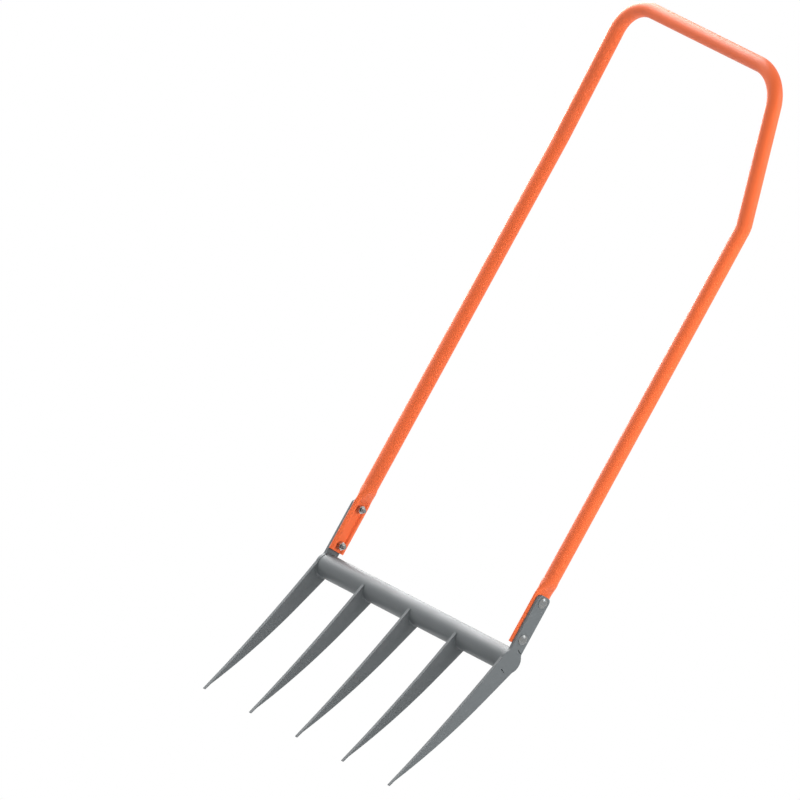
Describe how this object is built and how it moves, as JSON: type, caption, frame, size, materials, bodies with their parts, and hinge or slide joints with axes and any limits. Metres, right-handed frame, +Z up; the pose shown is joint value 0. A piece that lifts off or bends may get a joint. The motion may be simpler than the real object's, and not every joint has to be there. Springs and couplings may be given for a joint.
{
  "type": "broadfork",
  "caption": "Soil fork for both hands: curved plate tines under a tube crossbar to step on, and a tall bent-tube handle whose flattened ends are bolted to the side plates.",
  "frame": {"origin": "The middle of the crossbar's axis.", "axes": "+X runs along the crossbar to the user's right, +Z up the legs of the handle, and -Y to the front, where the points of the tines and the top of the handle lean."},
  "size_m": [0.5096, 0.1345, 1.3789],
  "materials": {
    "head_paint": "satin grey powder coat",
    "handle_paint": "satin orange powder coat",
    "zinc": "bright zinc plate"
  },
  "bodies": {
    "root": {"crossbar": "head_paint", "left_side_plate": "head_paint", "right_side_plate": "head_paint", "left_tine": "head_paint", "centre_tine": "head_paint", "right_tine": "head_paint", "handle": "handle_paint", "left_lower_bolt": "zinc", "left_upper_bolt": "zinc", "right_lower_bolt": "zinc", "right_upper_bolt": "zinc", "left_lower_nut": "zinc", "left_upper_nut": "zinc", "right_lower_nut": "zinc", "right_upper_nut": "zinc", "left_plate_welds": "head_paint", "right_plate_welds": "head_paint", "left_tine_welds": "head_paint", "centre_tine_welds": "head_paint", "right_tine_welds": "head_paint"}
  },
  "joints": []
}
